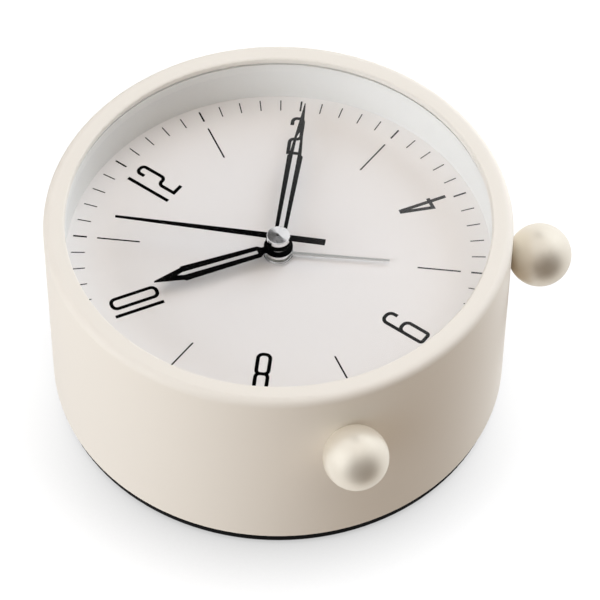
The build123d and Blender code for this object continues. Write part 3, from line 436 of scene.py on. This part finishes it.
def rough_up(material, height, depth):
    """Turns a height into a bump of that depth in metres."""
    tree = material.node_tree
    bump = add_node(tree, "Bump", {"Strength": 1.0, "Distance": depth, "Height": height})
    tree.links.new(bump.outputs[0], tree.nodes["Principled BSDF"].inputs["Normal"])


def new_finish(name, **sockets):
    """An empty Principled material with plain values on its own sockets."""
    material = bpy.data.materials.new(name)
    material.use_nodes = True
    shader = material.node_tree.nodes["Principled BSDF"]
    for label, value in sockets.items():
        shader.inputs[label.replace("_", " ")].default_value = value
    return material, shader


# %% Lacquer, plastic and metal
def skin_finish(name, colour, roughness, drift, drift_size, grain_size, grain_depth, **sockets):
    """Lacquer or moulded plastic. The colour is a plain one, or the group values of a painted edge shade."""
    material, shader = new_finish(name, **sockets)
    tree = material.node_tree
    if isinstance(colour, dict):
        colour = place_group(material, painted_edge_shade, **colour).outputs["Colour"]
    effect = place_group(material, skin, Colour=colour, Roughness=roughness, Drift=drift,
                         Drift_Size=drift_size, Grain_Size=grain_size)
    tree.links.new(effect.outputs["Colour"], shader.inputs["Base Color"])
    tree.links.new(effect.outputs["Roughness"], shader.inputs["Roughness"])
    rough_up(material, effect.outputs["Height"], grain_depth)
    return material


def metal_finish(name, colour, roughness, spread, line_size, line_depth):
    """Drawn, rolled or plated metal."""
    material, shader = new_finish(name, Base_Color=colour, Metallic=1.0)
    effect = place_group(material, drawn_lines, Roughness=roughness, Spread=spread, Line_Size=line_size)
    material.node_tree.links.new(effect.outputs["Roughness"], shader.inputs["Roughness"])
    rough_up(material, effect.outputs["Height"], line_depth)
    return material


finishes = {}

# %% [markdown]
# ### Case and feet
# The drum has a satin cream lacquer with a faint peel, like fine orange skin. The ball feet have a pearl
# lacquer: its mica flakes mirror the room softly, so a part of the shader is metallic.

# %% Cream finishes
finishes["cream_case"] = skin_finish(
    "cream_lacquer", chip(241, 235, 225), roughness=0.5, drift=0.03, drift_size=30 * MM,
    grain_size=0.9 * MM, grain_depth=0.004 * MM)
finishes["cream_gloss"] = skin_finish(
    "cream_pearl", chip(239, 232, 218), roughness=0.38, drift=0.03, drift_size=8 * MM,
    grain_size=0.7 * MM, grain_depth=0.001 * MM, Metallic=0.5)
print("finishes so far:", len(finishes))

# %% [markdown]
# ### Dial and ring
# The dial is matt white print on a thin plate, and the ring round it is satin white plastic. Both are skin
# with hardly any drift, because a drift that shows would look like dirt on white.

# %% White finishes
finishes["dial_white"] = skin_finish(
    "dial_print_white", chip(246, 243, 241), roughness=0.6, drift=0.02, drift_size=15 * MM,
    grain_size=0.25 * MM, grain_depth=0.002 * MM)
finishes["ring_white"] = skin_finish(
    "ring_white", chip(241, 240, 236), roughness=0.5, drift=0.02, drift_size=20 * MM,
    grain_size=0.4 * MM, grain_depth=0.002 * MM)
print("finishes so far:", len(finishes))

# %% [markdown]
# ### Lens
# The lens is clear acrylic. Light that a lens bends is slow to compute, so lamp light passes straight
# through it, and only the view through it and its reflections are worked out in full.

# %% Clear finish
acrylic, acrylic_shader = new_finish(
    "clear_acrylic", Base_Color=(1, 1, 1, 1), Roughness=0.0, IOR=1.49, Transmission_Weight=1.0)
acrylic_tree = acrylic.node_tree
passing = add_node(acrylic_tree, "LightPath").outputs
no_view = math_step(acrylic_tree, "MAXIMUM", passing["Is Shadow Ray"], passing["Is Diffuse Ray"])
open_way = add_node(acrylic_tree, "BsdfTransparent")
way = add_node(acrylic_tree, "MixShader", {0: no_view, 1: acrylic_shader.outputs[0], 2: open_way.outputs[0]})
acrylic_tree.links.new(way.outputs[0], acrylic_tree.nodes["Material Output"].inputs["Surface"])
finishes["lens_clear"] = acrylic
print("finishes so far:", len(finishes))

# %% [markdown]
# ### Black pieces
# The back cover, its door, the knobs and the switch are moulded in black with a fine eroded texture. The
# cover's edge is painted a deeper black, a painted shade for the shadow where it meets the floor. The hands
# are stamped metal with a thin black paint that keeps a slight sheen. The movement's shells are dark grey
# mouldings, and the chip on the circuit board is a drop of poured resin, glossier than the rest.

# %% Black finishes
# The cover's outer band gets the near-black Edge colour. It is painted shade for the floor's shadow on it.
painted_shade_band = 0.4 * MM
cover_reach = max(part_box("back_cover")[1].x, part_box("back_cover")[1].y)
black_and_painted_shade = {"Face": chip(44, 44, 46), "Edge": chip(6, 6, 7), "Reach": cover_reach - painted_shade_band}
finishes["black_plastic"] = skin_finish(
    "eroded_black", black_and_painted_shade, roughness=0.55, drift=0.25, drift_size=6 * MM,
    grain_size=0.22 * MM, grain_depth=0.012 * MM, Specular_IOR_Level=0.04)
finishes["hand_black"] = skin_finish(
    "hand_black_paint", chip(4, 4, 4), roughness=0.55, drift=0.2, drift_size=4 * MM,
    grain_size=0.2 * MM, grain_depth=0.001 * MM, Specular_IOR_Level=0.03)
finishes["shell_plastic"] = skin_finish(
    "movement_shell", chip(52, 52, 54), roughness=0.5, drift=0.15, drift_size=8 * MM,
    grain_size=0.3 * MM, grain_depth=0.006 * MM)
finishes["chip_black"] = skin_finish(
    "poured_resin", chip(22, 21, 20), roughness=0.25, drift=0.3, drift_size=2 * MM,
    grain_size=0.8 * MM, grain_depth=0.01 * MM)
print("finishes so far:", len(finishes))

# %% [markdown]
# ### Turned metal
# The bushes and the cap on the axis are turned bright metal, so they use the rings. They are smooth enough
# to mirror the room, which shows in the cap as bright and dark sectors.

# %% Turned finish
turned, _ = new_finish(
    "turned_bright", Base_Color=(0.86, 0.86, 0.87, 1), Metallic=1.0, Roughness=0.08)
lathe = place_group(turned, turned_rings, Pitch=0.09 * MM)
rough_up(turned, lathe.outputs["Height"], depth=0.0006 * MM)
finishes["bright_steel"] = turned
print("finishes so far:", len(finishes))

# %% [markdown]
# ### Plated and rolled metal
# Screws, contacts, the crystal's can and the alarm hand are plated or rolled, so they use the drawn lines.
# The rotor's magnet is pressed from powder: it is darker and duller.

# %% Plated and rolled finishes
finishes["hand_silver"] = metal_finish(
    "satin_silver", (0.74, 0.74, 0.73, 1), roughness=0.38, spread=0.15,
    line_size=0.12 * MM, line_depth=0.001 * MM)
finishes["screw_steel"] = metal_finish(
    "zinc_plate", (0.60, 0.61, 0.62, 1), roughness=0.34, spread=0.25,
    line_size=0.25 * MM, line_depth=0.004 * MM)
finishes["contact_steel"] = metal_finish(
    "nickel_plate", (0.70, 0.69, 0.66, 1), roughness=0.28, spread=0.2,
    line_size=0.15 * MM, line_depth=0.002 * MM)
finishes["crystal_can"] = metal_finish(
    "crystal_can", (0.78, 0.78, 0.78, 1), roughness=0.2, spread=0.15,
    line_size=0.1 * MM, line_depth=0.001 * MM)
finishes["magnet"] = metal_finish(
    "sintered_magnet", (0.30, 0.30, 0.31, 1), roughness=0.5, spread=0.3,
    line_size=0.1 * MM, line_depth=0.006 * MM)
print("finishes so far:", len(finishes))

# %% [markdown]
# ### Inside pieces
# Wheels are natural acetal, the bobbin is a plain moulding and the board has green solder mask. The coil is
# wound from enamelled copper wire, and the cell has a thin metal-coloured sleeve.

# %% Inside finishes
finishes["gear_plastic"] = skin_finish(
    "natural_acetal", chip(240, 238, 228), roughness=0.36, drift=0.04, drift_size=3 * MM,
    grain_size=0.2 * MM, grain_depth=0.002 * MM)
finishes["bobbin_plastic"] = skin_finish(
    "bobbin_moulding", chip(222, 218, 206), roughness=0.42, drift=0.05, drift_size=4 * MM,
    grain_size=0.3 * MM, grain_depth=0.003 * MM)
finishes["board_green"] = skin_finish(
    "solder_mask", chip(42, 104, 62), roughness=0.3, drift=0.3, drift_size=2.2 * MM,
    grain_size=0.5 * MM, grain_depth=0.006 * MM)
finishes["cell_sleeve"] = metal_finish(
    "cell_sleeve", chip(96, 98, 104), roughness=0.34, spread=0.15,
    line_size=0.3 * MM, line_depth=0.002 * MM)
finishes["copper"] = metal_finish(
    "enamelled_copper", (0.70, 0.33, 0.15, 1), roughness=0.3, spread=0.2,
    line_size=0.12 * MM, line_depth=0.02 * MM)
print("finishes so far:", len(finishes))

# %% [markdown]
# ### Give each piece its finish
# The record says which finish each piece belongs to, so the finishes are handed out by its own list.

# %% Hand out the finishes
for row in frame["record"]["subparts"]:
    piece = nodes[row["node"]]
    piece.data.materials.clear()
    piece.data.materials.append(finishes[row["material_slot"]])

# %% [markdown]
# ## Dial print
# Ink lies on the dial as a very thin layer. Each stroke starts as a path of a few points whose corners are
# rounded by a bevel. The path is raised into a low wall, and a Solidify modifier gives the wall the width
# of the pen. That keeps every stroke the same width round its bends, which a drawn outline would only do
# with many more points.

# %% Helpers for ink
ink_height = 0.03 * MM
ink_sink = 0.005 * MM
dial_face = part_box("dial")[1].z
corner_steps = 8

ink = skin_finish(
    "black_ink", chip(4, 4, 4), roughness=0.7, drift=0.2, drift_size=3 * MM,
    grain_size=0.2 * MM, grain_depth=0.001 * MM, Specular_IOR_Level=0.02)


def print_strokes(name, strokes, width):
    """Prints paths of (x, y, corner radius) in metres on the dial, with a pen of that width."""
    shape = bmesh.new()
    for points, closed in strokes:
        dots = [shape.verts.new((x, y, dial_face - ink_sink)) for x, y, corner in points]
        for start, end in zip(dots, dots[1:] + dots[:1] * closed):
            shape.edges.new((start, end))
        for dot, (x, y, corner) in zip(dots, points):
            if corner:
                bmesh.ops.bevel(shape, geom=[dot], offset=corner, offset_type="OFFSET",
                                segments=corner_steps, profile=0.5, affect="VERTICES", material=-1)
    wall = bmesh.ops.extrude_edge_only(shape, edges=shape.edges[:])
    top = [part for part in wall["geom"] if isinstance(part, bmesh.types.BMVert)]
    bmesh.ops.translate(shape, verts=top, vec=(0, 0, ink_sink + ink_height))
    bmesh.ops.recalc_face_normals(shape, faces=shape.faces)
    mesh = bpy.data.meshes.new(name)
    shape.to_mesh(mesh)
    shape.free()
    mesh.materials.append(ink)
    printed = bpy.data.objects.new(name, mesh)
    bpy.context.scene.collection.objects.link(printed)
    pen = printed.modifiers.new("pen", "SOLIDIFY")
    pen.thickness = width
    pen.offset = 0
    pen.use_even_offset = True
    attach(printed, "housing")
    print(name, "has", len(strokes), "strokes")


def on_dial(hour, across, out):
    """A point on the dial, given from the middle line of an hour: sideways and outwards."""
    turn = math.radians(30 * hour)
    return (across * math.cos(turn) + out * math.sin(turn), out * math.cos(turn) - across * math.sin(turn))


# %% [markdown]
# ### Marks
# Sixty short marks stand round the edge, the hour ones a little bolder, and the odd hours have a long thin
# dash. Each is one straight stroke, so a loop over the minutes or hours prints them.

# %% Print the marks
mark_start, mark_end = 42.48 * MM, 45.52 * MM
dash_start, dash_end = 30.7 * MM, 40.2 * MM
minute_pen, hour_pen, dash_pen = 0.25 * MM, 0.40 * MM, 0.35 * MM


def radial(hour, start, end):
    """A straight stroke along an hour's middle line."""
    return [(*on_dial(hour, 0, start), 0), (*on_dial(hour, 0, end), 0)], False


minutes = [minute for minute in range(60) if minute % 5]
print_strokes("minute_marks", [radial(m / 5, mark_start, mark_end) for m in minutes], minute_pen)
print_strokes("hour_marks", [radial(h, mark_start, mark_end) for h in range(12)], hour_pen)
print_strokes("hour_dashes", [radial(h, dash_start, dash_end) for h in range(1, 12, 2)], dash_pen)

# %% [markdown]
# ### Numerals
# The numerals are tall and narrow. Each is measured from its foot upwards and drawn as one or two strokes
# of the same pen, with a corner radius where the pen turns. A figure is a small function, because the same
# figure is a little narrower beside another one than it is alone.

# %% Sizes of the figures
tall = 10.45 * MM
pen_width = 0.82 * MM
half_pen = pen_width / 2
hook = 2.1 * MM
swing = 0.405 * tall
loop_top = 0.575 * tall
waist = 0.495 * tall
waist_round = 0.95 * MM
waist_meet = 1.02 * waist_round
small_round = 0.6 * MM
bar = 0.33 * tall
turn_share = 0.42
tail_share = 1.1
print("figures are", round(tall / MM, 2), "mm tall")


# %% Draw the figures
def one():
    """A plain stem."""
    return [([(0, -half_pen, 0), (0, tall + half_pen, 0)], False)]


def two(wide):
    """A hook over the top, a swing across to the left and a foot."""
    bend = turn_share * wide
    return [([(0, tall - hook, 0), (0, tall, bend), (wide, tall, bend), (wide, swing, bend),
              (0, swing, bend), (0, 0, 0), (wide + half_pen, 0, 0)], False)]


def four(corner, apex, stem, bar_end):
    """A slope down to the left that turns into the bar, and a stem across it."""
    return [([(apex, tall + half_pen, 0), (corner, bar, 0), (bar_end, bar, 0)], False),
            ([(stem, -half_pen, 0), (stem, tall + half_pen, 0)], False)]


def six(wide):
    """A hook over the top, then down and round a loop that closes on the stem."""
    bend = turn_share * wide
    return [([(wide, tall - hook, 0), (wide, tall, bend), (0, tall, bend), (0, 0, small_round),
              (wide, 0, small_round), (wide, loop_top, bend), (0, loop_top, bend),
              (0, loop_top - tail_share * bend, 0)], False)]


def eight(wide):
    """A closed upper loop, and a lower one that starts and ends on its waist."""
    bend = turn_share * wide
    upper = [(0, waist, waist_round), (wide, waist, waist_round), (wide, tall, bend), (0, tall, bend)]
    lower = [(waist_meet, waist, 0), (0, waist, waist_round), (0, 0, bend), (wide, 0, bend),
             (wide, waist, waist_round), (wide - waist_meet, waist, 0)]
    return [(upper, True), (lower, False)]


def nought(wide):
    """One closed loop."""
    bend = turn_share * wide
    return [([(0, 0, bend), (wide, 0, bend), (wide, tall, bend), (0, tall, bend)], True)]


# %% [markdown]
# ### Numerals in place
# Those in the upper half stand with their tops outwards and those in the lower half with their tops
# inwards, so that all of them read upright. Each row says how far the numeral's middle is from the axis,
# which way its top points, and where each of its figures starts.

# %% Print the numerals
TOP_OUT, TOP_IN = 1, -1
rows = {
    12: (34.5 * MM, TOP_OUT, [(one(), -2.3 * MM), (two(2.2 * MM), 0.3 * MM)]),
    2: (35.0 * MM, TOP_OUT, [(two(2.4 * MM), -1.35 * MM)]),
    4: (35.2 * MM, TOP_IN, [(four(-1.06 * MM, 0.55 * MM, 0.83 * MM, 1.79 * MM), 0)]),
    6: (34.1 * MM, TOP_IN, [(six(2.9 * MM), -1.28 * MM)]),
    8: (33.1 * MM, TOP_IN, [(eight(2.65 * MM), -0.95 * MM)]),
    10: (33.6 * MM, TOP_OUT, [(one(), -2.3 * MM), (nought(2.7 * MM), -0.3 * MM)]),
}
strokes = []
for hour, (middle, upright, figures) in rows.items():
    for figure, left in figures:
        for points, closed in figure:
            moved = [(upright * (left + x), middle + upright * (y - tall / 2), corner)
                     for x, y, corner in points]
            strokes.append(([(*on_dial(hour, across, out), corner) for across, out, corner in moved], closed))
print_strokes("numerals", strokes, pen_width)
